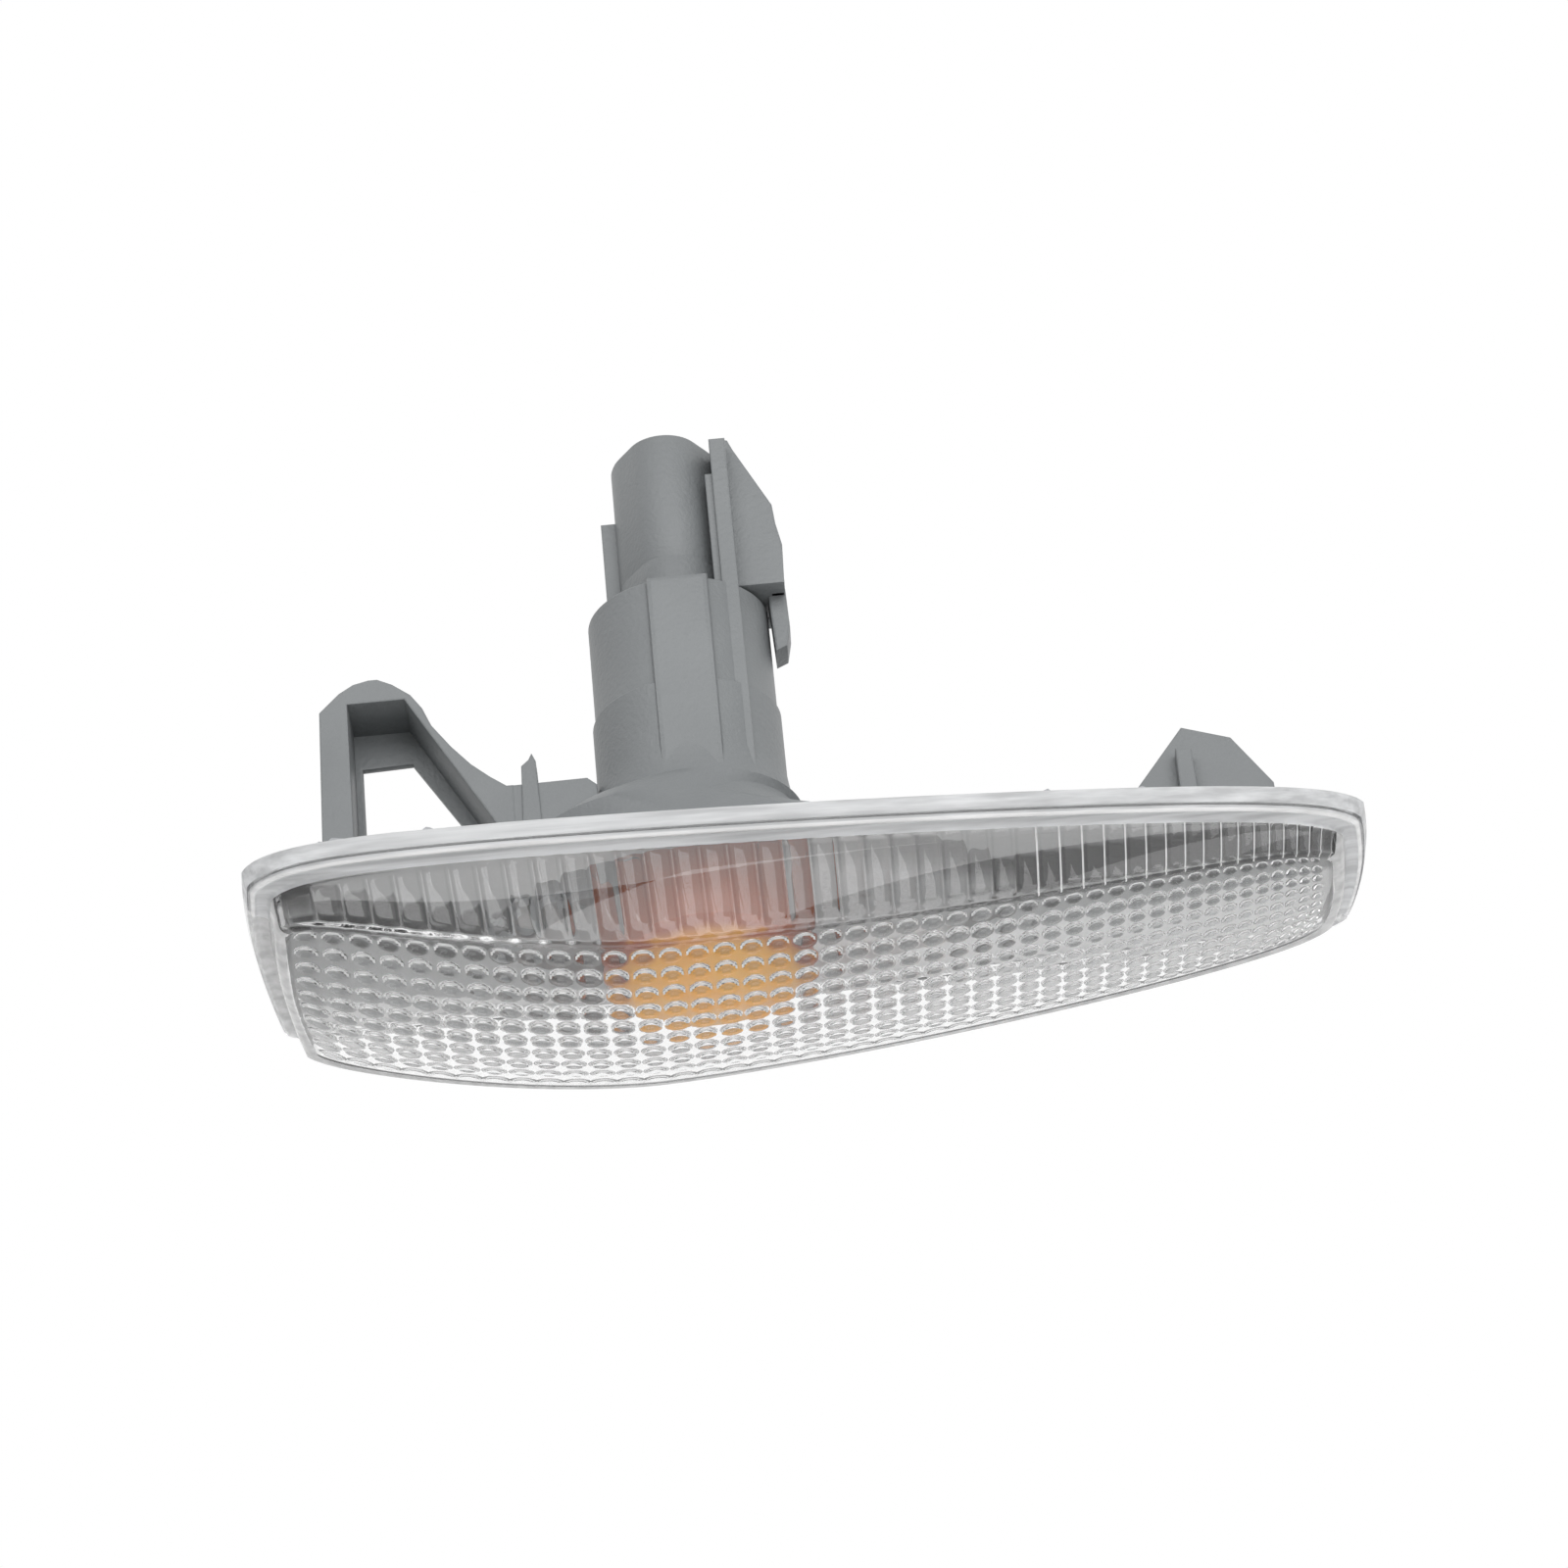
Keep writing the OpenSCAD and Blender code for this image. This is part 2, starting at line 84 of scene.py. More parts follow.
INNER_STEPS = (0.03, 0.06, 0.09, 0.12, 0.15, 0.2, 0.3, 0.5, 0.7, 0.85, 0.93, 1.0)
NEAR_END, LEFT_RIM_CLEAR = 0.99, 0.7  # values of p and q

# Pattern of dots and flutes
COLS, ROWS = 44, 10
LEFT_PLAIN, RIGHT_PLAIN = 0.012, 0.02  # share of the half length left plain at each end
SPREAD, LATE_SPREAD = 0.1, 0.43  # how the columns' width changes along the lamp
END_CROWD = 1.3
DOT_HEIGHT, DOT_POWER = 0.5, 0.75
DOT_OVAL = (0.84, 0.74)  # half width and half height, as shares of half a cell
# Painted highlight: a crescent round the upper side of each dot
CRESCENT_LEVEL, CRESCENT_FROM = 1.15, -0.25
CRESCENT_HOLE, HOLE_LEVEL = (0.64, 0.44, -0.34), 0.9
# Painted shade: a grey tint in the core of each dot
CORE_OVAL = (0.64, 0.42, -0.3)
FLUTE_DEPTH, FLUTE_POWER = 0.32, 3
FLUTE_RUN_OUT = 8
SCALLOP, REACH, SCALLOP_END = 0.1, 0.1, 0.2
CLOSED = 0.3  # share of the flutes' depth left at the front edge
CLOSE_OFF = 0.15  # share of the wall's height over which they close
TOP_STRIP = 0.7 / ROWS
# Dots get their painted shade above this row
FIRST_CORE_ROW = 4
# Painted highlight lines on the flutes' cusps, from this column on, and how narrow they are
FIRST_CUSP_COLUMN, CUSP_WIDTH = 27, 0.02

# Finishes of the lens, in the order of its materials; three of them carry painted highlights and painted
# shade
CLEAR, FROSTED, PAINTED_HIGHLIGHT, RIDGE_PAINTED_HIGHLIGHT, GLASSY, CORE_PAINTED_SHADE = range(6)

# Rim from the rear edge to the wall's foot: inset, y, and the finish of the band that follows
# The ridge in the rim is real, and its whiter finish is a painted highlight
RIM = [
    (0.0, 0.0, FROSTED), (0.03, -0.1, FROSTED), (0.2, -0.9, FROSTED), (0.36, -1.5, FROSTED),
    (0.46, -1.66, CLEAR), (0.72, -1.72, CLEAR), (0.76, -1.8, FROSTED), (0.78, -2.1, RIDGE_PAINTED_HIGHLIGHT),
    (0.86, -2.3, RIDGE_PAINTED_HIGHLIGHT), (1.0, -2.38, RIDGE_PAINTED_HIGHLIGHT), (1.2, -2.36, FROSTED), (1.34, -2.26, FROSTED),
    (1.7, -2.22, FROSTED), (2.3, -2.3, FROSTED), (2.54, -2.5, FROSTED), (2.62, WALL_FOOT_Y, CLEAR),
]

# Bead of joint material: its larger bumps as x, size and width
BUMPS = [(-37.0, 0.75, 1.6), (-27.5, 0.6, 1.1), (-25.0, 0.5, 0.8), (37.0, 0.5, 1.2), (47.0, 0.6, 1.5)]
BEAD_IN, BEAD_Y, BEAD_RADIUS, BEAD_RIPPLE = 1.0, 0.05, 0.2, 0.25
BEAD_SIDES, BEAD_FLATNESS = 8, 0.9

# Housing in millimetres; the heights are y, off the plate's rear face
MOUND_X, MOUND_Z = 5.5, -1
MOUTH_WIDTH, MOUTH_HEIGHT = 28.2, 14.4
BORE, TOWER_BORE = 9.2, 8.4
TOWER_TOP, TOWER_FLOOR = 34.5, 32.5
PANEL_TOP = 34.6
NECK_FOOT, NECK_SOLID_TOP, NECK_TOP = 33.5, 38.7, 54.5
NECK_OPEN_FROM = 38.3
NECK_REACH = 3.8  # from the tower's axis to the centres of the neck's round ends
NECK_BULGE_Z = 0.6
NECK_STEPS, BARREL_STEPS, NEAR_AXIS = 60, 96, 0.01
NECK_OUT, SOCKET = (4.2, 6.0), (2.7, 4.5)  # radii of the ends and of the bulge
GUIDE_IN, GUIDE_LOW = 6.2, 35.1
CLIP_TOP = 28.6
ROOT = -0.5  # how deep clip, fin and tab reach into the plate
SHARP_ANGLE = 32

# Where the housing's flat forms lie across the lamp: their lower and upper z
GUIDE_CHEEKS, BETWEEN_CHEEKS = [(3.6, 6.0), (-3.6, -1.2)], (-1.4, 3.8)
CLIP_SIDES, FLANGE_SIDES, WEB_SIDES = (-3.4, 4.0), (-4.0, -3.0), (2.4, 3.9)
FIN_SIDES, TAB_SIDES, RIB_SIDES = (1.2, 4.2), (-1, 1), (0.4, 2.8)

# Painted light and shade on the housing's inside, in millimetres: an arc with tones above and below it, and
# a lower line with painted light below it
ARC_X, ARC_Z, ARC_LOW = -2.0, 0.9, 0.4
ARC_LEFT_BEND, ARC_RIGHT_SLOPE, ARC_RIGHT_BEND = 0.0083, 0.17, 0.001
TONE_REACH = 10.0
PAINTED_INSIDE_TONES = [
    (0.0, 0.36), (0.15, 0.34), (0.24, 0.12), (0.29, 0.045), (0.485, 0.04), (0.515, 0.23), (0.8, 0.26),
]
LINE_LOW, LINE_RIGHT_SLOPE, LINE_LEFT_SLOPE, LINE_SOFTNESS = 17.0, 0.2, 0.076, 0.6
PAINTED_INSIDE_LIGHT = (0.8, 0.8, 0.8)

# Other materials
WHITE = (1.0, 1.0, 1.0)
GRAIN_DEPTH = 0.0002
NOISE_ROUGHNESS = 0.55
CLEAR_IOR, AMBER_IOR = 1.55, 1.35
# Painted shade on the amber: along y from the first to the second it darkens towards its root
AMBER_SHADE_FROM, AMBER_SHADE_TO = -10.9, -8.6

# Camera and light
AZIMUTH, ELEVATION, ROLL = -1.6, 60.0, 3.9
PHOTO_WIDTH, SENSOR_WIDTH = 1600, 36.0
FOCAL_PIXELS, PIXELS_PER_MM = 5150.0, 9.90
AIM = Vector((9.5, 0.0, 22.6)) * MM
FLOOR_HALF, FLOOR_Z = 3.0, -0.0225
WORLD_LEVEL = 0.45
LIGHT_AIM, LIGHT_DISTANCE = Vector((0.01, 0, 0)), 1.0
LIGHTS = [
    # name, direction, width and height in metres, radiance
    ("softbox", (0.05, 0.4, 0.92), 1.7, 0.55, 2.45),
    ("side_softbox", (0.29, -0.13, 0.95), 0.42, 0.62, 2.2),
    ("front_fill", (0.05, -0.97, 0.2), 1.4, 0.8, 1.75),
]


# Lens form: p runs from -1 to 1 along the lamp, q from the lower to the fluted side


def top_line(x):
    return TOP_AT_AXIS - TOP_TILT * x - TOP_BEND * x * x


def low_line(x):
    return LOW_LEAST + LOW_BEND * (x - LOW_X) ** 2


def half_height(x):
    return (top_line(x) - low_line(x)) / 2


def round_off(s, q=0.0):
    power = CORNER_POWER + LOWER_LEFT_MORE * np.clip(-q, 0, 1) * (s < 0)
    return np.maximum(0, 1 - np.abs(s) ** power) ** (1 / power)


def along(p, q, inset):
    bulge = (1 - TIP_SHARE) * np.sign(p) * np.abs(p) ** TIP_POWER * (1 - q * q)
    return MID_X + (HALF - inset) * (TIP_SHARE * p + bulge)


def across(p, q, inset):
    x = along(p, q, inset)
    return (top_line(x) + low_line(x)) / 2 + q * (half_height(x) - inset) * round_off(TIP_SHARE * p, q)


def edge_y(x):
    """Depth of the front face's edge, which comes back towards both ends."""
    right = np.maximum(x - DEEPEST_X, 0) / (MID_X + HALF - DEEPEST_X)
    left = np.maximum(DEEPEST_X - x, 0) / (DEEPEST_X - MID_X + HALF)
    rise = np.where(x > DEEPEST_X, RIGHT_RISE * right ** RIGHT_CURVE, LEFT_RISE * left ** LEFT_CURVE)
    return -(FRONT_DEPTH - rise)


def edge_inset(p):
    depth = -edge_y(along(p, 0, FOOT_IN)) - RIM_DEPTH
    return FOOT_IN + (FRONT_IN - FOOT_IN) * depth / (FRONT_DEPTH - RIM_DEPTH)


def drop(p, q):
    """How far the front's flute edge leans in towards the right."""
    t = np.clip((along(p, 0, FOOT_IN) - LEAN_START) / LEAN_SPAN, 0, 1)
    return LEAN * t * t * (3 - 2 * t) * (1 + q) / 2


def front_point(p, q, grow, back):
    inset = edge_inset(p) + grow
    x = along(p, q, inset)
    rise = ((half_height(x) - inset) * round_off(TIP_SHARE * p)) ** 2 * (1 - q * q) / (2 * DOME_RADIUS)
    return np.stack([x, edge_y(x) - rise + back, across(p, q, inset) - drop(p, q)], -1)


def softness(q):
    """The front's edge is rounded tightly along the flutes and more softly elsewhere."""
    return SOFT_LEAST + SOFT_MORE * np.clip((1 - q) / SOFT_SPAN, 0, 1)


def column_at(t):
    """Place along the lamp of pattern column t, a number from 0 to COLS."""
    u = t / COLS
    spread = SPREAD * u * (1 - u) + LATE_SPREAD * u * u * (1 - u)
    return -1 + LEFT_PLAIN + (2 - LEFT_PLAIN - RIGHT_PLAIN) * (u + spread)


def grid_lines(per_column, per_row, ends):
    """Values of p and q for a grid with so many steps a column, a row and a plain end."""
    left = -1 + LEFT_PLAIN * np.linspace(0, 1, ends + 1)[:-1] ** END_CROWD
    right = 1 - RIGHT_PLAIN * np.linspace(1, 0, ends + 1)[1:] ** END_CROWD
    middle = column_at(np.linspace(0, COLS, COLS * per_column + 1))
    return np.concatenate([left, middle, right]), np.linspace(-1, 1, ROWS * per_row + 1)


class Border:
    """The stations round a grid's edge, and level rings through them."""

    def __init__(self, p, q):
        n, m = len(p) - 1, len(q) - 1
        stations = [(i, 0) for i in range(n)] + [(n, j) for j in range(m)]
        stations += [(i, m) for i in range(n, 0, -1)] + [(0, j) for j in range(m, 0, -1)]
        self.i, self.j = np.array(stations).T
        self.p, self.q = p[self.i], q[self.j]

    def ring(self, inset, y):
        """Ring at a height y, or at the height that a function y gives for each x."""
        x = along(self.p, self.q, inset)
        height = y(x) if callable(y) else np.full_like(x, y)
        return np.stack([x, height, across(self.p, self.q, inset)], -1)

    def of(self, number):
        """Numbers of a grid's points at the stations."""
        return [number[i][j] for i, j in zip(self.i, self.j)]


def make_mesh(name, points, faces):
    mesh = bpy.data.meshes.new(name)
    mesh.from_pydata([tuple(v) for v in points], [], faces)
    mesh.update()
    mesh.polygons.foreach_set("use_smooth", [True] * len(mesh.polygons))
    ob = bpy.data.objects.new(name, mesh)
    bpy.context.scene.collection.objects.link(ob)
    return ob


class Shell:
    """Collects points and faces in millimetres, with a finish for each face."""

    def __init__(self):
        self.points, self.faces, self.marks, self.count = [], [], [], 0

    def add(self, points):
        """Keeps a ring or a grid of points and gives back their numbers."""
        shape = points.shape[:-1]
        numbers = self.count + np.arange(math.prod(shape)).reshape(shape)
        self.points.append(points.reshape(-1, 3))
        self.count += numbers.size
        return numbers.tolist()

    def band(self, a, b, mark):
        """Faces between two rings, with one finish or one for each station."""
        marks = np.broadcast_to(mark, len(a)).tolist()
        for i in range(len(a)):
            j = (i + 1) % len(a)
            self.faces.append((a[i], a[j], b[j], b[i]))
            self.marks.append(marks[i])

    def sheet(self, number, marks, inward):
        """Faces over a grid of points, with the finish of each cell."""
        for i in range(len(number) - 1):
            for j in range(len(number[0]) - 1):
                start, far = number[i][j], number[i + 1][j + 1]
                beside, above = number[i + 1][j], number[i][j + 1]
                self.faces.append((start, above, far, beside) if inward else (start, beside, far, above))
                self.marks.append(int(marks[i][j]))


def lens_outside(shell):
    """Rim, upright wall and front face."""
    p, q = grid_lines(3, 3, 6)
    border = Border(p, q)
    at_end = np.abs(border.p) > NEAR_END
    low_side = border.q < -NEAR_END
    low_left = low_side | ((border.p < -NEAR_END) & (border.q < LEFT_RIM_CLEAR))
    ends = np.where(at_end, GLASSY, CLEAR)
    ends_and_low_side = np.where(low_side | at_end, GLASSY, CLEAR)

    rings = [shell.add(border.ring(inset, y)) for inset, y, _ in RIM]
    top = 1 - ROUND_DOWN * softness(border.q)
    for s in np.linspace(FIRST_STEP, 1, WALL_STEPS):
        t = s * top
        inset = FOOT_IN + FOOT_STEP + (edge_inset(border.p) - FOOT_IN) * WALL_LEAN * t ** WALL_BOW
        wall = border.ring(inset, lambda x: WALL_FOOT_Y + (edge_y(x) - WALL_FOOT_Y) * t)
        wall[:, 2] -= drop(border.p, border.q) * t ** WALL_BOW
        rings.append(shell.add(wall))

    grid_p, grid_q = np.meshgrid(p, q, indexing="ij")
    front = front_point(grid_p, grid_q, ROUND_IN * softness(grid_q), 0.0)
    front_edge = front[border.i, border.j]
    for share in ROUND_STEPS:
        turn = share * math.pi / 2
        part = np.array([1 - math.cos(turn), math.sin(turn), 1 - math.cos(turn)])
        rings.append(shell.add(wall + (front_edge - wall) * part))
    number = shell.add(front)
    rings.append(border.of(number))

    rounding = len(rings) - len(ROUND_STEPS) - 2
    for k in range(len(rings) - 1):
        if k < len(RIM) - 1:
            mark = np.where(low_left, ends, RIM[k][2])
        else:
            mark = ends_and_low_side if k >= rounding else ends
        shell.band(rings[k], rings[k + 1], mark)
    shell.sheet(number, np.full(grid_p.shape, CLEAR), inward=False)


def in_cell(place, count):
    """From -1 to 1 within its cell, for a place counted in cells."""
    return (place - np.floor(np.minimum(place, count - 1e-6))) * 2 - 1


def oval_level(u, v, half_width, half_tallness, v_middle=0.0):
    """1 on an oval within a cell, and less inside it."""
    return (u / half_width) ** 2 + ((v - v_middle) / half_tallness) ** 2


def all_corners(flag):
    """Cells of a grid that have the flag at all four corners."""
    return flag[:-1, :-1] & flag[1:, :-1] & flag[:-1, 1:] & flag[1:, 1:]


def lens_inside(shell):
    """Dots on the inside of the front, flutes on the upper wall, and the foot that holds the plate, with
    painted highlights on the dots and on the flutes' cusps and painted shade in the dots' cores.
    """
    per_column, per_row, ends = 12, 10, 4
    p, q = grid_lines(per_column, per_row, ends)
    border = Border(p, q)
    inner_front, inner_foot = WALL * FRONT_WALL_SHARE, FOOT_IN + WALL
    grid_p, grid_q = np.meshgrid(p, q, indexing="ij")
    front = front_point(grid_p, grid_q, inner_front, WALL)

    column = (np.arange(len(p)) - ends) / per_column
    row = np.arange(len(q)) / per_row
    v_line = in_cell(row, ROWS)
    u, v = np.meshgrid(in_cell(np.clip(column, 0, COLS), COLS), v_line, indexing="ij")
    patterned = ((column >= 0) & (column <= COLS))[:, None]
    level = oval_level(u, v, *DOT_OVAL)
    outside_hole = oval_level(u, v, *CRESCENT_HOLE) > HOLE_LEVEL
    # Painted highlight: a whiter finish on a crescent round the upper side of each dot
    painted_crescent = (level <= CRESCENT_LEVEL) & outside_hole & (v > CRESCENT_FROM) & patterned
    # Painted shade: the dots' cores get a grey tint
    dark = (oval_level(u, v, *CORE_OVAL) < 1) & patterned & (row > FIRST_CORE_ROW)[None, :]
    front[..., 1] += DOT_HEIGHT * np.maximum(0, 1 - level) ** DOT_POWER * patterned
    near_top = np.clip((grid_q - (1 - TOP_STRIP)) / TOP_STRIP, 0, 1)
    front[..., 2] -= CLOSED * FLUTE_DEPTH * (1 - np.abs(u) ** FLUTE_POWER) * patterned * near_top
    front[..., 1] += (SCALLOP * u ** 2 - REACH) * patterned * near_top ** 2
    number = shell.add(front)
    # Painted highlights and painted shade on the dots, clear plastic elsewhere
    finish = np.where(all_corners(painted_crescent), PAINTED_HIGHLIGHT, np.where(all_corners(dark), CORE_PAINTED_SHADE, CLEAR))
    shell.sheet(number, finish, inward=True)

    # From the front's edge back to the foot
    place = column[border.i]
    fluted = (border.q > 1 - 1e-9) & (place >= 0) & (place <= COLS)
    u = in_cell(np.clip(place, 0, COLS), COLS)
    hollow = np.where(border.p < -1 + 1e-9, END_HOLLOW * (1 - v_line[border.j] ** 2), 0)
    rings = [border.of(number)]
    edge = edge_inset(border.p)
    for s in INNER_STEPS:
        wall = border.ring(
            edge + inner_front + (inner_foot - edge - inner_front) * s,
            lambda x: edge_y(x) + WALL + (-PLATE - edge_y(x) - WALL) * s,
        )
        opened = CLOSED + (1 - CLOSED) * min(1, s / CLOSE_OFF)
        depth = np.minimum(FLUTE_DEPTH * (1 - np.abs(u) ** FLUTE_POWER), (1 - s) * FLUTE_RUN_OUT) * opened
        wall[:, 2] -= np.where(fluted, depth, 0) + drop(border.p, border.q) * (1 - s)
        wall[:, 0] += hollow * math.sin(math.pi * min(1, s * 1.2 + 0.1))
        wall[:, 1] += np.where(fluted, (SCALLOP * u ** 2 - REACH) * max(0, 1 - s / SCALLOP_END), 0)
        rings.append(shell.add(wall))
    foot = [(SKIRT, -PLATE), (SKIRT, 0.0), (0.0, 0.0)]
    rings += [shell.add(border.ring(*form)) for form in foot]
    # Painted highlights: whiter lines along the flutes' cusps
    painted_cusp = fluted & (place > FIRST_CUSP_COLUMN) & (np.abs(place - np.round(place)) < CUSP_WIDTH)
    painted_cusps = np.where(painted_cusp, PAINTED_HIGHLIGHT, CLEAR)
    last_painted_cusps = len(rings) - len(foot) - 2
    for k in range(len(rings) - 1):
        shell.band(rings[k], rings[k + 1], painted_cusps if k < last_painted_cusps else FROSTED)


def build_lens():
    shell = Shell()
    lens_outside(shell)
    lens_inside(shell)
    points = np.concatenate(shell.points) * MM
    # Kept inside the part's box, which moves points by 0.09 mm at most
    points[:, 2] = np.clip(points[:, 2], start_low[2], start_high[2])
    ob = make_mesh("lens_visual", points, shell.faces)
    ob.data.polygons.foreach_set("material_index", shell.marks)
    return ob


def build_bead():
    """Ragged bead of joint material on the rear edge of the rim."""
    border = Border(*grid_lines(4, 6, 9))
    x, y, z = border.ring(BEAD_IN, BEAD_Y).T
    ripple = np.sin(1.9 * x + 0.7 * z) * np.sin(0.83 * x - 1.3 * z + 1) * np.sin(3.1 * x + 2)
    radius = BEAD_RADIUS + BEAD_RIPPLE * np.clip(ripple, 0, 1)
    for place, size, width in BUMPS:
        lump = size * np.exp(-((x - place) / width) ** 2)
        radius += lump * (0.6 + 0.4 * np.sin(5 * x)) * (z > 0)
    further_in = border.ring(BEAD_IN + 1, BEAD_Y)
    inward_x, inward_z = further_in[:, 0] - x, further_in[:, 2] - z
    points, faces = [], []
    n = len(x)
    for k in range(BEAD_SIDES):
        turn = 2 * math.pi * k / BEAD_SIDES
        side_x = x + inward_x * radius * math.cos(turn)
        side_y = y + radius * math.sin(turn) * BEAD_FLATNESS
        side_z = z + inward_z * radius * math.cos(turn)
        points.append(np.stack([side_x, side_y, side_z], -1))
        a, b = k * n, (k + 1) % BEAD_SIDES * n
        faces += [(a + i, a + (i + 1) % n, b + (i + 1) % n, b + i) for i in range(n)]
    return make_mesh("bead_visual", np.concatenate(points) * MM, faces)


class Solid:
    """Closed pieces of one moulding, gathered in millimetres into one mesh."""

    def __init__(self):
        self.points, self.faces, self.marks = [], [], []

    def add(self, points, faces, marks):
        first = len(self.points)
        self.marks += marks
        self.points += [tuple(float(c) for c in v) for v in points]
        self.faces += [tuple(first + i for i in f) for f in faces]

    def slab(self, loops, low, high, edge=0.18, across_lamp=True):
        """Flat form with holes, from low to high across the lamp, or along the tower."""
        curve = bpy.data.curves.new("slab", "CURVE")
        curve.dimensions = "2D"
        curve.fill_mode = "BOTH"
        curve.extrude = (high - low) / 2 - edge
        curve.bevel_depth = edge
        curve.bevel_resolution = 1
        curve.offset = -edge
        for loop in loops:
            spline = curve.splines.new("POLY")
            spline.points.add(len(loop) - 1)
            for point, (x, y) in zip(spline.points, loop):
                point.co = (x, y, 0, 1)
            spline.use_cyclic_u = True
        ob = bpy.data.objects.new("slab", curve)
        mesh = bpy.data.meshes.new_from_object(ob)
        middle = (low + high) / 2
        if across_lamp:
            points = [(v.co.x, v.co.y, v.co.z + middle) for v in mesh.vertices]
            faces = [tuple(f.vertices) for f in mesh.polygons]
        else:
            points = [(v.co.x, v.co.z + middle, v.co.y) for v in mesh.vertices]
            faces = [tuple(reversed(f.vertices)) for f in mesh.polygons]
        self.add(points, faces, [0] * len(faces))
        bpy.data.objects.remove(ob)
        bpy.data.meshes.remove(mesh)
        bpy.data.curves.remove(curve)

    def loft(self, rings, inside_from=None):
        """Rings of as many points each, joined one to the next and the last to the first."""
        n = len(rings[0])
        faces, marks = [], []
        for k in range(len(rings)):
            a, b = k * n, ((k + 1) % len(rings)) * n
            faces += [(a + i, b + i, b + (i + 1) % n, a + (i + 1) % n) for i in range(n)]
            marks += [int(inside_from is not None and k >= inside_from)] * n
        self.add([v for r in rings for v in r], faces, marks)


def round_ring(x, z, half_width, half_height, y, angles):
    reach = 1 / np.sqrt((np.cos(angles) / half_width) ** 2 + (np.sin(angles) / half_height) ** 2)
    return np.stack([x + reach * np.cos(angles), np.full_like(angles, y), z + reach * np.sin(angles)], -1)


def hull_side(points):
    """One side of the hull round points that are in order of x."""
    side = []
    for x, y in points:
        while len(side) > 1:
            (x0, y0), (x1, y1) = side[-2:]
            if (x1 - x0) * (y - y0) > (y1 - y0) * (x - x0):
                break
            side.pop()
        side.append((x, y))
    return side[:-1]


def full_turn(steps):
    return np.linspace(0, 2 * math.pi, steps + 1)[:-1]


def neck_outline(end, bulge):
    """Outline of the connector neck: the hull of three circles in a row."""
    circles = [(NECK_REACH, end), (NECK_BULGE_Z, bulge), (-NECK_REACH, end)]
    points = sorted({
        (round(radius * math.cos(t), 4), round(middle + radius * math.sin(t), 4))
        for middle, radius in circles for t in full_turn(NECK_STEPS)
    })
    return hull_side(points) + hull_side(points[::-1])


def box_loop(x0, y0, x1, y1):
    return [(x0, y0), (x1, y0), (x1, y1), (x0, y1)]


def plate_and_mound(solid):
    """Plate and hollow mound in one skin, out over the rear and back through the bore."""
    border = Border(*grid_lines(2, 3, 9))
    outer = border.ring(1.9, 0)
    angles = np.arctan2(outer[:, 2] - MOUND_Z, outer[:, 0] - MOUND_X)
    edge = [(1.66, -PLATE), (1.66, -0.5), (1.76, -0.4), (2.7, -0.4), (2.8, 0)]
    mound = [
        (MOUND_X, MOUND_Z, 30.6, 16.6, 0.0), (MOUND_X, MOUND_Z, 30.2, 16.3, 0.25),
        (5.4, MOUND_Z, 29.7, 16.1, 1.3), (-4, 0, 14.5, 13.5, 6.3), (-2.6, 0, 13.2, 12.7, 7.9),
        (0, 0, 11.7, 11.7, 9.3), (0, 0, 11, 11, 9.6),
    ]
    hollow = [
        (0, 0, BORE, BORE, 9.4), (0, 0, BORE, BORE, 7.7), (-4, 0, 12.7, 11.7, 4.7),
        (MOUND_X, MOUND_Z, MOUTH_WIDTH, MOUTH_HEIGHT, 0.4),
        (MOUND_X, MOUND_Z, MOUTH_WIDTH, MOUTH_HEIGHT, -PLATE),
    ]
    rings = [border.ring(*form) for form in edge]
    rings += [round_ring(*form, angles) for form in mound + hollow]
    # Faces from the hollow on take the second material, which carries the painted light and shade of the
    # inside
    solid.loft(rings, inside_from=len(edge) + len(mound))


def barrel(solid):
    """Lamp tower with its two steps and the flare at its foot."""
    profile = [
        (TOWER_BORE, -PLATE), (TOWER_BORE, TOWER_FLOOR), (NEAR_AXIS, TOWER_FLOOR),
        (NEAR_AXIS, TOWER_TOP),
        (9.7, TOWER_TOP), (9.95, 34.25), (9.95, 21.75), (10.05, 21.5), (10.3, 21.3), (10.3, 13.6),
        (10.5, 12.0), (10.8, 10.2), (11.2, 8.6), (11.9, 7.2), (12.6, 6.2), (13.3, 5.0),
        (10.2, 3.6), (10.2, -1.4),
    ]
    turns = full_turn(BARREL_STEPS)
    solid.loft([round_ring(0, 0, radius, radius, y, turns) for radius, y in profile])


def connector(solid):
    """Neck with its socket, open at the top."""
    solid.slab([neck_outline(*NECK_OUT)], NECK_FOOT, NECK_SOLID_TOP, 0.15, False)
    solid.slab([neck_outline(*NECK_OUT), neck_outline(*SOCKET)], NECK_OPEN_FROM, NECK_TOP, 0.3, False)


def panel_and_pads(solid):
    """Panel up the barrel, and the two pads beside the neck."""
    solid.slab([box_loop(-3.1, 8, 3.7, PANEL_TOP)], 8.0, 10.32, 0.6)
    solid.slab([box_loop(5.2, 6.5, 7.0, 53.2)], 2.0, 8.2)
    solid.slab([box_loop(4.4, 9.5, 6.0, 49)], -2.0, 7.6)


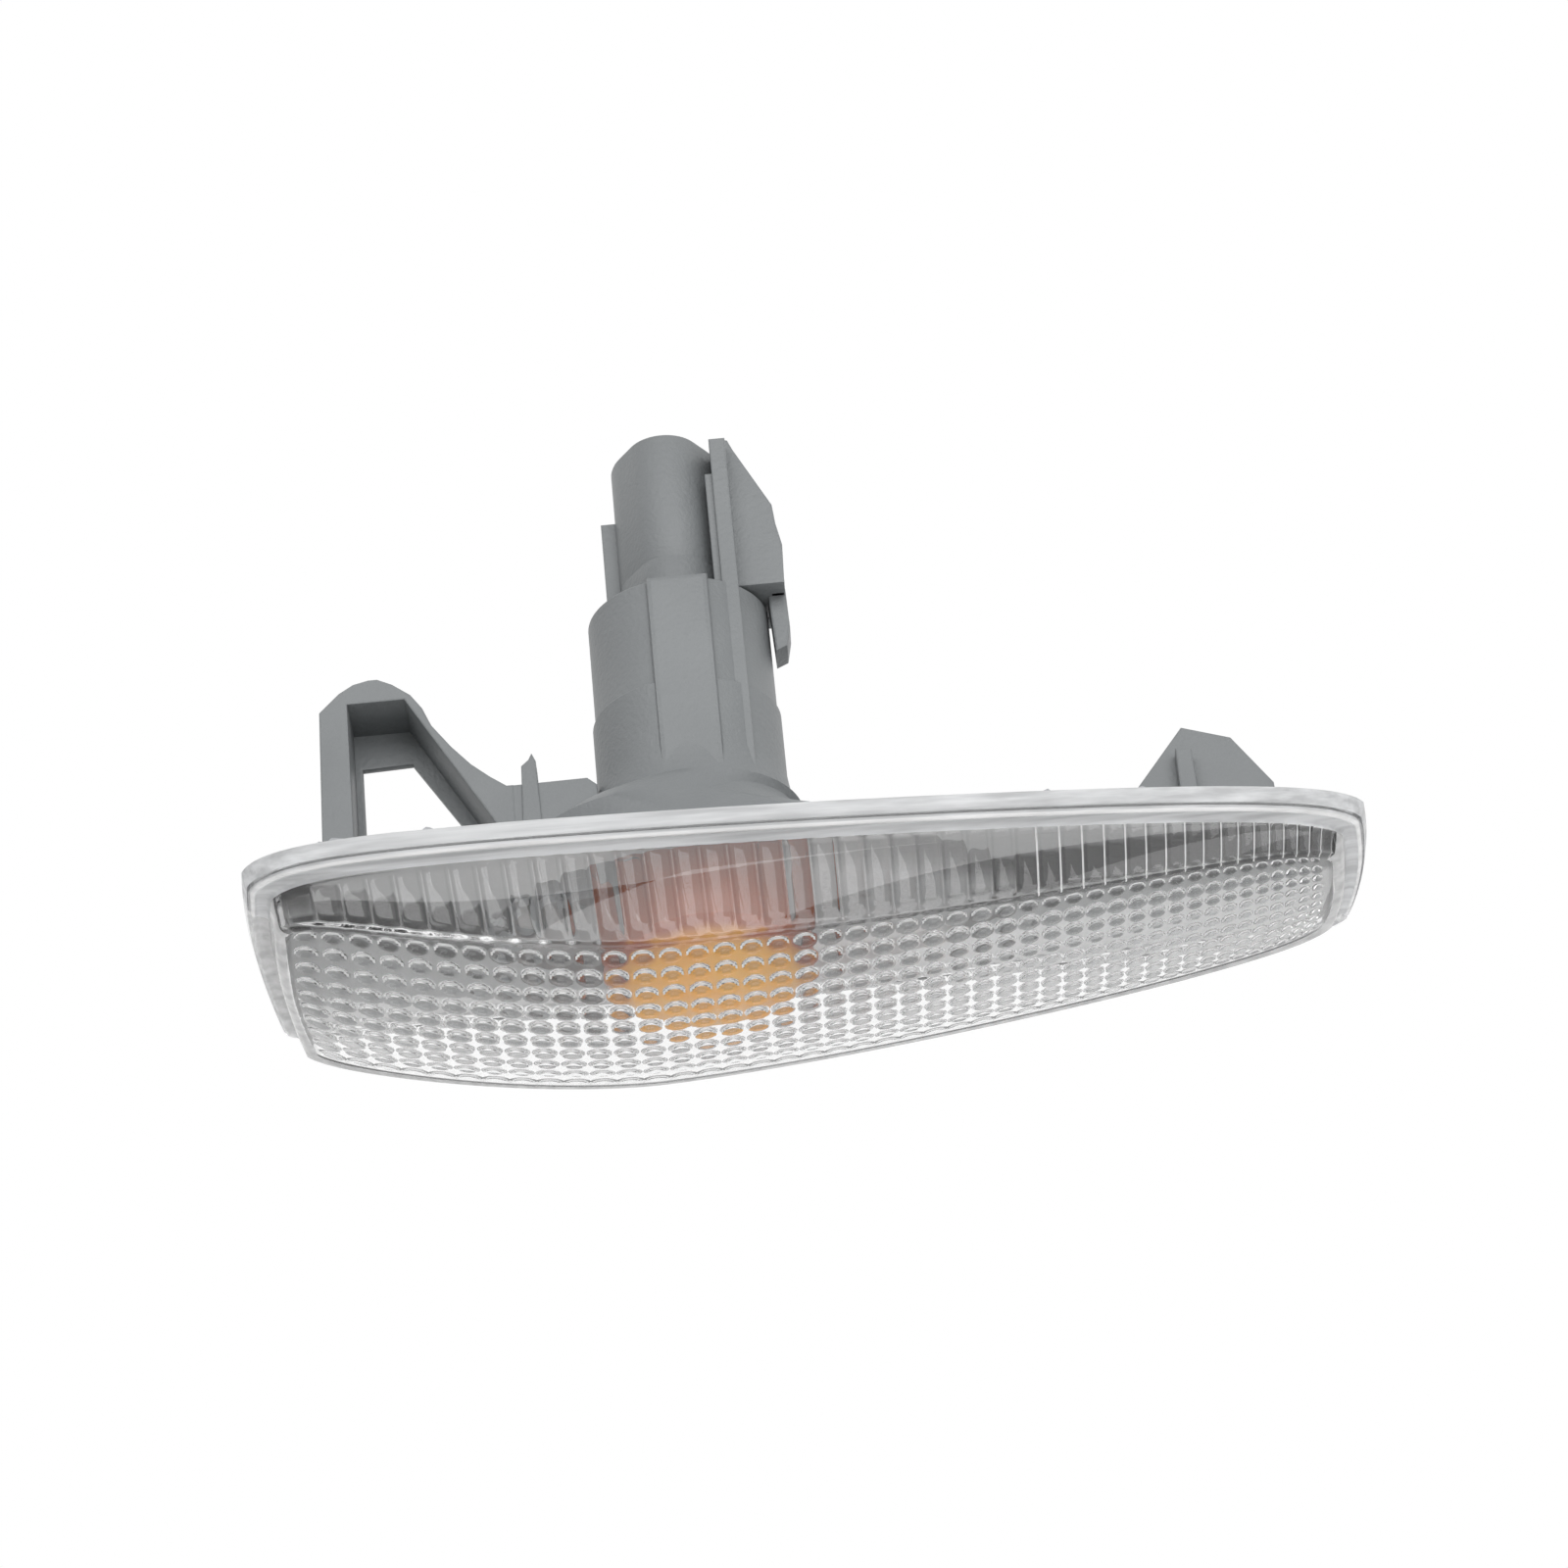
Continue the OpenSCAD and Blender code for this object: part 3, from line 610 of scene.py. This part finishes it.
def latch_guide(solid):
    """Cheeks, walls and foot of the guide, its tongue, and the rib at the other side of the neck."""
    cheek = [
        (GUIDE_IN, 35), (12, 35), (12.2, 40), (11.7, 42.8),
        (11.5, 45.3), (7.8, 53), (7.3, 54.3), (GUIDE_IN, 54.6),
    ]
    outer_wall = [
        (10.6, GUIDE_LOW), (11.98, GUIDE_LOW), (12.15, 40),
        (11.65, 42.8), (11.45, 45.2), (10.6, 47),
    ]
    foot = [(GUIDE_IN, GUIDE_LOW), (11.9, GUIDE_LOW), (11.95, 36.4), (GUIDE_IN, 36.4)]
    inner_wall = [(GUIDE_IN, GUIDE_LOW), (7.6, GUIDE_LOW), (7.6, 53.2), (7.2, 54.2), (GUIDE_IN, 54.5)]
    tongue = [(10.1, 36), (12.1, 36), (12.2, 31), (11.7, 28.6), (10.4, 28)]
    for low, high in GUIDE_CHEEKS:
        solid.slab([cheek], low, high, 0.22)
    for form in (outer_wall, foot, inner_wall):
        solid.slab([form], *BETWEEN_CHEEKS, 0.1)
    solid.slab([tongue], -0.8, 3.2, 0.25)
    solid.slab([box_loop(-7.6, 33, -5, 48)], -0.8, 0.8, 0.2)


def spring_clip(solid):
    """A deep frame, a thin far flange with a smaller window, and the web to the tower."""
    h = CLIP_TOP
    arm = [
        (-40.2, ROOT), (-39.7, h - 3.6), (-38.8, h - 2.7), (-37.5, h - 1.4), (-35.9, h - 0.4),
        (-34.2, h), (-33.2, h), (-31.6, h - 0.8), (-29.7, h - 2.3), (-28.5, h - 4.1), (-27.6, h - 6.4),
        (-25.6, h - 9.3), (-23.6, h - 11.7), (-21.6, h - 13.5), (-19.9, h - 14.8), (-19.2, h - 14.8),
        (-19.2, ROOT),
    ]
    window = [
        (-36.6, 0), (-36.6, h - 2.9), (-30.4, h - 2.9), (-27.6, h - 8),
        (-21.4, h - 19.2), (-20.6, h - 21.6), (-20.6, 0),
    ]
    flange_window = [
        (-35.8, 0), (-35.8, h - 7.2), (-30.3, h - 7), (-25.3, h - 15.2), (-22.4, h - 20.4), (-22.4, 0),
    ]
    web = [(-19.6, ROOT), (-19.6, h - 14.8), (-11.2, h - 14.7), (-10.2, h - 15.6), (-9.6, ROOT)]
    solid.slab([arm, window], *CLIP_SIDES, 0.2)
    solid.slab([arm, flange_window], *FLANGE_SIDES, 0.2)
    solid.slab([web], *WEB_SIDES)


def fin_and_tab(solid):
    """Thin pointed fin beside the mound, and the locating tab with its rib."""
    fin = [(-18.7, ROOT), (-18.2, 15.9), (-17.4, 16.6), (-17, 17.4), (-16.6, 16.4), (-16.1, ROOT)]
    tab = [(40.95, ROOT), (53.25, 15), (58.45, 13.2), (62.35, 7.2), (62.55, ROOT)]
    rib = [(51.85, ROOT), (52.15, 11.4), (53.85, 11.2), (54.05, ROOT)]
    solid.slab([fin], *FIN_SIDES, 0.15)
    solid.slab([tab], *TAB_SIDES, 0.2)
    solid.slab([rib], *RIB_SIDES, 0.2)


def build_housing():
    solid = Solid()
    for part in (plate_and_mound, barrel, connector, panel_and_pads, latch_guide, spring_clip, fin_and_tab):
        part(solid)
    ob = make_mesh("housing_visual", np.array(solid.points) * MM, solid.faces)
    ob.data.polygons.foreach_set("material_index", solid.marks)
    ob.data.set_sharp_from_angle(angle=math.radians(SHARP_ANGLE))
    return ob


# Material nodes


def new_material(name):
    material = bpy.data.materials.new(name)
    material.use_nodes = True
    tree = material.node_tree
    tree.nodes.clear()
    out = tree.nodes.new("ShaderNodeOutputMaterial")
    shader = tree.nodes.new("ShaderNodeBsdfPrincipled")
    tree.links.new(shader.outputs[0], out.inputs[0])
    return material, tree, shader


def place_on_object(tree):
    """The object's own x, y and z in metres."""
    coordinates = tree.nodes.new("ShaderNodeTexCoord")
    split = tree.nodes.new("ShaderNodeSeparateXYZ")
    tree.links.new(coordinates.outputs["Object"], split.inputs[0])
    return split.outputs


def noise(tree, scale, detail, stretch=None):
    texture = tree.nodes.new("ShaderNodeTexNoise")
    texture.inputs["Scale"].default_value = scale
    texture.inputs["Detail"].default_value = detail
    texture.inputs["Roughness"].default_value = NOISE_ROUGHNESS
    place = tree.nodes.new("ShaderNodeTexCoord").outputs["Object"]
    if stretch:
        mapping = tree.nodes.new("ShaderNodeMapping")
        mapping.inputs["Scale"].default_value = stretch
        tree.links.new(place, mapping.inputs["Vector"])
        place = mapping.outputs[0]
    tree.links.new(place, texture.inputs["Vector"])
    return texture.outputs[0]


def ramp(tree, source, stops):
    node = tree.nodes.new("ShaderNodeValToRGB")
    elements = node.color_ramp.elements
    while len(elements) > 1:
        elements.remove(elements[-1])
    for number, (place, colour) in enumerate(stops):
        element = elements.new(place) if number else elements[0]
        element.position = place
        element.color = (*colour, 1)
    tree.links.new(source, node.inputs[0])
    return node.outputs[0]


def map_range(tree, value, from_low=0.0, from_high=1.0, to_low=0.0, to_high=1.0):
    node = tree.nodes.new("ShaderNodeMapRange")
    node.inputs["From Min"].default_value = from_low
    node.inputs["From Max"].default_value = from_high
    node.inputs["To Min"].default_value = to_low
    node.inputs["To Max"].default_value = to_high
    tree.links.new(value, node.inputs["Value"])
    return node.outputs[0]


def blend(tree, factor, first, second):
    """From a node's colour to a plain one."""
    node = tree.nodes.new("ShaderNodeMix")
    node.data_type = "RGBA"
    tree.links.new(factor, node.inputs["Factor"])
    colours = [socket for socket in node.inputs if socket.type == "RGBA"]
    tree.links.new(first, colours[0])
    colours[1].default_value = (*second, 1)
    return next(socket for socket in node.outputs if socket.type == "RGBA")


def combine(tree, operation, first, second):
    """A product, maximum or the like of two node outputs or plain numbers."""
    node = tree.nodes.new("ShaderNodeMath")
    node.operation = operation
    for socket, value in zip(node.inputs, (first, second)):
        if isinstance(value, (int, float)):
            socket.default_value = value
        else:
            tree.links.new(value, socket)
    return node.outputs[0]


def sums(tree, *terms):
    """Sum of factor times value over node outputs and plain numbers."""
    total = None
    for factor, value in terms:
        node = tree.nodes.new("ShaderNodeMath")
        node.operation = "MULTIPLY_ADD"
        node.inputs[1].default_value = factor
        if isinstance(value, (int, float)):
            node.inputs[0].default_value = value
        else:
            tree.links.new(value, node.inputs[0])
        if total is None:
            node.inputs[2].default_value = 0
        else:
            tree.links.new(total, node.inputs[2])
        total = node.outputs[0]
    return total


def bump(tree, source, shader, strength):
    node = tree.nodes.new("ShaderNodeBump")
    node.inputs["Strength"].default_value = strength
    node.inputs["Distance"].default_value = GRAIN_DEPTH
    tree.links.new(source, node.inputs["Height"])
    tree.links.new(node.outputs[0], shader.inputs["Normal"])


# Materials


def plastic(name, dark, light, rough, grain, strength):
    material, tree, shader = new_material(name)
    broad = noise(tree, 60.0, 3.0)
    tree.links.new(ramp(tree, broad, [(0.3, dark), (0.7, light)]), shader.inputs["Base Color"])
    shader.inputs["Roughness"].default_value = rough
    bump(tree, noise(tree, grain, 2.0), shader, strength)
    return material


def inside_painted_light_and_shade(name):
    """Housing plastic inside the lens, with painted light and shade: pale towards the flutes, dark below an
    arc, light low down.

    The shade goes by the part's own x and z. Its arc and its lower line were placed from the photo,
    so that the zones fall about where it shows them.
    """
    material, tree, shader = new_material(name)
    place = place_on_object(tree)
    x = sums(tree, (1 / MM, place["X"]), (1, -ARC_X))
    z = sums(tree, (1 / MM, place["Z"]), (1, -ARC_Z))
    left, right = combine(tree, "MINIMUM", x, 0.0), combine(tree, "MAXIMUM", x, 0.0)
    arc = sums(
        tree,
        (ARC_LEFT_BEND, combine(tree, "MULTIPLY", left, left)),
        (ARC_RIGHT_SLOPE, right),
        (-ARC_RIGHT_BEND, combine(tree, "MULTIPLY", right, right)),
        (1, -ARC_LOW),
    )
    above_arc = sums(tree, (1, z), (-1, arc))
    # Painted shade and painted light by place: darker in a band just below the arc, paler above it and
    # further below
    tones = [(at, (tone, tone * 1.02, tone * 1.03)) for at, tone in PAINTED_INSIDE_TONES]
    shade = ramp(tree, map_range(tree, above_arc, -TONE_REACH, TONE_REACH), tones)
    # Painted light below the lower line
    below_line = sums(tree, (-1, z), (LINE_RIGHT_SLOPE, right), (-LINE_LEFT_SLOPE, left), (1, -LINE_LOW))
    light = map_range(tree, below_line, -LINE_SOFTNESS, LINE_SOFTNESS)
    tree.links.new(blend(tree, light, shade, PAINTED_INSIDE_LIGHT), shader.inputs["Base Color"])
    shader.inputs["Roughness"].default_value = 0.5
    bump(tree, noise(tree, 2600.0, 2.0), shader, 0.3)
    return material


def clear_plastic(name, rough, tint, through=1.0, streak=0.01, scale=260.0, stretch=(0.12, 1, 1)):
    """Clear moulding: through is the share that lets light in, streak how much darker its streaks are."""
    material, tree, shader = new_material(name)
    shade = noise(tree, scale, 3.0, stretch)
    low = tuple(c * (1 - streak) for c in tint)
    tree.links.new(ramp(tree, shade, [(0.35, low), (0.65, tint)]), shader.inputs["Base Color"])
    shader.inputs["Transmission Weight"].default_value = through
    shader.inputs["IOR"].default_value = CLEAR_IOR
    smooth, dull = rough
    roughness = map_range(tree, noise(tree, 90.0, 2.0), to_low=smooth, to_high=dull)
    tree.links.new(roughness, shader.inputs["Roughness"])
    return material


def metal(name, colour, rough):
    material, tree, shader = new_material(name)
    drawn = noise(tree, 900.0, 2.0, (1, 0.1, 1))
    dark = tuple(c * 0.8 for c in colour)
    tree.links.new(ramp(tree, drawn, [(0.3, dark), (0.7, colour)]), shader.inputs["Base Color"])
    shader.inputs["Metallic"].default_value = 1.0
    shader.inputs["Roughness"].default_value = rough
    return material


def amber():
    """Amber plastic with painted shade: deeper and redder towards its root, at the back of the cap where
    less light reaches.
    """
    material, tree, shader = new_material("amber_plastic")
    bright_part = ramp(tree, noise(tree, 120.0, 2.0), [(0.3, (1.0, 0.45, 0.02)), (0.7, (1.0, 0.53, 0.05))])
    # Painted shade: darker and redder towards the cap's root
    deep = map_range(tree, place_on_object(tree)["Y"], AMBER_SHADE_FROM * MM, AMBER_SHADE_TO * MM)
    tree.links.new(blend(tree, deep, bright_part, (0.33, 0.075, 0.022)), shader.inputs["Base Color"])
    shader.inputs["Transmission Weight"].default_value = 0.12
    shader.inputs["IOR"].default_value = AMBER_IOR
    shader.inputs["Roughness"].default_value = 0.25
    return material


def put(ob, *materials):
    """Gives a piece its materials and keeps the finish of each face."""
    marks = [0] * len(ob.data.polygons)
    ob.data.polygons.foreach_get("material_index", marks)
    ob.data.materials.clear()
    for material in materials:
        ob.data.materials.append(material)
    if len(materials) > 1:
        ob.data.polygons.foreach_set("material_index", marks)


# Stage, camera and light


def add_camera():
    azimuth, elevation, roll = (math.radians(angle) for angle in (AZIMUTH, ELEVATION, ROLL))
    flat = math.cos(elevation)
    look = Vector((-math.sin(azimuth) * flat, math.cos(azimuth) * flat, -math.sin(elevation)))
    level = Vector((math.cos(azimuth), math.sin(azimuth), 0))
    upright = level.cross(look)
    right = level * math.cos(roll) - upright * math.sin(roll)
    up = level * math.sin(roll) + upright * math.cos(roll)
    data = bpy.data.cameras.new("camera")
    data.sensor_width = SENSOR_WIDTH
    data.lens = FOCAL_PIXELS / PHOTO_WIDTH * SENSOR_WIDTH
    data.clip_start = 0.01
    camera = bpy.data.objects.new("camera", data)
    bpy.context.scene.collection.objects.link(camera)
    turn = Matrix((right, up, -look)).transposed()
    distance = FOCAL_PIXELS / PIXELS_PER_MM * MM
    camera.matrix_world = Matrix.Translation(AIM - look * distance) @ turn.to_4x4()
    bpy.context.scene.camera = camera


def seen_directly(tree):
    """1 for what the camera, metal and glass show, and 0 for light that falls on the object."""
    path = tree.nodes.new("ShaderNodeLightPath").outputs
    shown = combine(tree, "MAXIMUM", path["Is Camera Ray"], path["Is Glossy Ray"])
    return combine(tree, "MAXIMUM", shown, path["Is Transmission Ray"])


def add_floor():
    """Floor that shows as white, while its diffuse part lights the object."""
    half, z = FLOOR_HALF, FLOOR_Z
    corners = [(-half, -half, z), (half, -half, z), (half, half, z), (-half, half, z)]
    mesh = bpy.data.meshes.new("floor")
    mesh.from_pydata(corners, [], [(0, 1, 2, 3)])
    floor = bpy.data.objects.new("floor", mesh)
    bpy.context.scene.collection.objects.link(floor)
    material = bpy.data.materials.new("floor_white")
    material.use_nodes = True
    tree = material.node_tree
    tree.nodes.clear()
    out = tree.nodes.new("ShaderNodeOutputMaterial")
    diffuse = tree.nodes.new("ShaderNodeBsdfDiffuse")
    diffuse.inputs[0].default_value = (0.9, 0.9, 0.9, 1)
    white = tree.nodes.new("ShaderNodeEmission")
    white.inputs[1].default_value = 1.0
    mix = tree.nodes.new("ShaderNodeMixShader")
    tree.links.new(seen_directly(tree), mix.inputs[0])
    tree.links.new(diffuse.outputs[0], mix.inputs[1])
    tree.links.new(white.outputs[0], mix.inputs[2])
    tree.links.new(mix.outputs[0], out.inputs[0])
    put(floor, material)
    return floor


def add_world():
    """White where it shows, and plain soft light elsewhere."""
    world = bpy.data.worlds.new("world")
    bpy.context.scene.world = world
    world.use_nodes = True
    tree = world.node_tree
    tree.nodes.clear()
    out = tree.nodes.new("ShaderNodeOutputWorld")
    background = tree.nodes.new("ShaderNodeBackground")
    level = map_range(tree, seen_directly(tree), to_low=WORLD_LEVEL)
    tree.links.new(level, background.inputs[1])
    tree.links.new(background.outputs[0], out.inputs[0])


def add_light(name, direction, width, height, radiance):
    away = Vector(direction).normalized()
    data = bpy.data.lights.new(name, "AREA")
    data.shape = "RECTANGLE"
    data.size, data.size_y = width, height
    data.energy = radiance * math.pi * width * height
    light = bpy.data.objects.new(name, data)
    bpy.context.scene.collection.objects.link(light)
    light.location = away * LIGHT_DISTANCE + LIGHT_AIM
    light.rotation_euler = (-away).to_track_quat("-Z", "Y").to_euler()


grey = plastic("grey_housing", (0.203, 0.214, 0.22), (0.238, 0.25, 0.256), 0.48, 1900.0, 0.5)
# Housing plastic with painted light and shade, for the faces inside the lens
grey_inside_painted = inside_painted_light_and_shade("grey_housing_inside_painted_light_and_shade")
black = plastic("holder_plastic", (0.03, 0.03, 0.032), (0.045, 0.045, 0.047), 0.5, 2200.0, 0.3)
joint_bead = plastic("joint_bead", (0.42, 0.43, 0.45), (0.52, 0.53, 0.55), 0.4, 1500.0, 0.5)
clear = clear_plastic("clear_lens", (0.0, 0.02), WHITE)
frosted = clear_plastic(
    "clear_lens_rim", (0.3, 0.45), (0.88, 0.89, 0.9),
    through=0.32, streak=0.35, scale=900.0, stretch=(0.04, 1, 1),
)
# Whiter, less clear plastic on the rim's ridge: a painted highlight on a real ridge
ridge_painted_highlight = clear_plastic(
    "clear_lens_ridge_painted_highlight", (0.2, 0.3), (0.95, 0.95, 0.95),
    through=0.2, streak=0.2, scale=900.0, stretch=(0.1, 1, 1),
)
# Whiter and less clear plastic, for the painted highlights on the dots and the flutes' cusps
painted_highlight = clear_plastic("clear_lens_painted_highlights", (0.05, 0.12), WHITE, through=0.1)
glassy = clear_plastic(
    "clear_lens_end", (0.02, 0.15), WHITE,
    through=0.45, streak=0.3, scale=700.0, stretch=(1, 0.15, 1),
)
# Grey-tinted clear plastic: painted shade in the dots' cores
core_painted_shade = clear_plastic("clear_lens_cores_painted_shade", (0.0, 0.02), (0.62, 0.63, 0.64))
bulb_clear = clear_plastic("bulb_glass", (0.0, 0.02), (0.98, 0.99, 0.99))
orange = amber()
steel = metal("wire_metal", (0.6, 0.58, 0.56), 0.3)
dark_steel = metal("filament_metal", (0.35, 0.34, 0.34), 0.4)
brass = metal("contact_metal", (0.78, 0.64, 0.38), 0.28)

# The part's own nodes
put(NODES["amber_cap"], orange)
put(NODES["bulb_glass"], bulb_clear)
put(NODES["bulb_filament"], dark_steel)
put(NODES["bulb_wire_left"], steel)
put(NODES["bulb_wire_right"], steel)
put(NODES["bulb_holder"], black)
put(NODES["contact_left"], brass)
put(NODES["contact_right"], brass)

# Pieces that stand for nodes in the picture
housing = build_housing()
put(housing, grey, grey_inside_painted)
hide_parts("housing")
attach(housing, "root")
joint = build_bead()
put(joint, joint_bead)
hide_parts("weld_bead")
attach(joint, "root")
lens = build_lens()
put(lens, clear, frosted, painted_highlight, ridge_painted_highlight, glassy, core_painted_shade)
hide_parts("outer_lens")
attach(lens, "root")

add_camera()
floor = add_floor()
add_world()
for light in LIGHTS:
    add_light(*light)

bpy.context.scene.view_settings.view_transform = "Standard"
